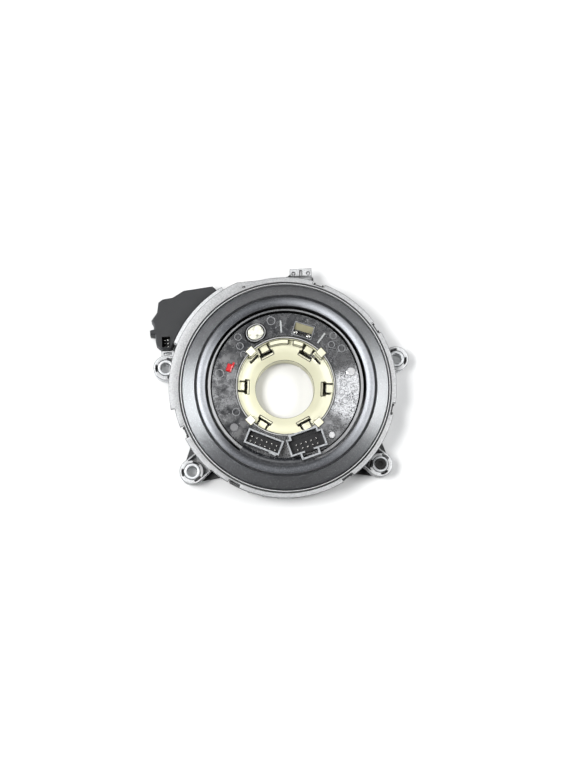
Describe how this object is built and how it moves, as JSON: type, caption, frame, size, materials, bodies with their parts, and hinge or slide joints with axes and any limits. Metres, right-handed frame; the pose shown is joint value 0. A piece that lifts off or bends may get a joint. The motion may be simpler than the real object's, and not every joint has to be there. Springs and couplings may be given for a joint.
{
  "type": "steering clock spring",
  "caption": "Round clock spring for a steering column: a ribbon-cable rotor with a column bore turns in a light housing with mounting ears and a harness module.",
  "frame": {"origin": "on the rotation axis, in the plane on which the mounting ears seat", "axes": "+Z along the rotation axis towards the driver, +Y up with the wheel straight ahead"},
  "size_m": [0.1719, 0.1536, 0.0364],
  "materials": {
    "light_grey_plastic": "fine satin texture",
    "steel_sleeve": "bright turned steel",
    "black_steel": "black oxide",
    "glide_film": "smooth film",
    "terminal_plastic": "moulded",
    "ribbon_film": "clear film over copper tracks",
    "matte_black_plastic": "matte",
    "circuit_board": "solder resist",
    "tin_plate": "tin plated",
    "gloss_black_plastic": "satin gloss",
    "cream_plastic": "smooth moulded",
    "socket_black": "moulded",
    "spring_steel": "bright wire",
    "red_plastic": "glossy",
    "beige_plastic": "smooth",
    "rivet_metal": "bright",
    "ivory_plastic": "semi-gloss"
  },
  "bodies": {
    "stator": {"housing_shell": "light_grey_plastic", "base_cover": "matte_black_plastic", "sleeve_upper_left": "steel_sleeve", "sleeve_upper_right": "steel_sleeve", "sleeve_lower_left": "steel_sleeve", "sleeve_lower_right": "steel_sleeve", "captive_screw": "black_steel", "glide_disc": "glide_film", "outer_terminal": "terminal_plastic", "ribbon_cable": "ribbon_film", "module_case": "matte_black_plastic", "module_board": "circuit_board", "module_lid": "matte_black_plastic", "module_pins": "tin_plate"},
    "rotor": {"rotor_cover": "gloss_black_plastic", "inner_hub": "cream_plastic", "wheel_socket_left": "socket_black", "wheel_socket_right": "socket_black", "socket_pins_left": "tin_plate", "socket_pins_right": "tin_plate", "lock_spring": "spring_steel", "position_flag": "red_plastic", "window_tongue": "beige_plastic", "contact_posts": "tin_plate", "rivet_right": "rivet_metal", "rivet_lower_right": "rivet_metal", "rivet_lower_left": "rivet_metal", "inner_terminal": "terminal_plastic"},
    "button": {"lock_button": "ivory_plastic"}
  },
  "joints": [
    {"name": "rotor_turn", "type": "hinge", "parent": "stator", "child": "rotor", "pos_m": [0, 0, 0], "axis": [0, 0, 1], "range_deg": [-900, 900], "deforming": ["ribbon_cable"]},
    {"name": "lock_press", "type": "slide", "parent": "rotor", "child": "button", "axis": [0, 0, -1], "range_m": [0, 0.003], "stiffness_N_per_m": 300, "springref_m": -0.001, "deforming": ["lock_spring"]}
  ]
}
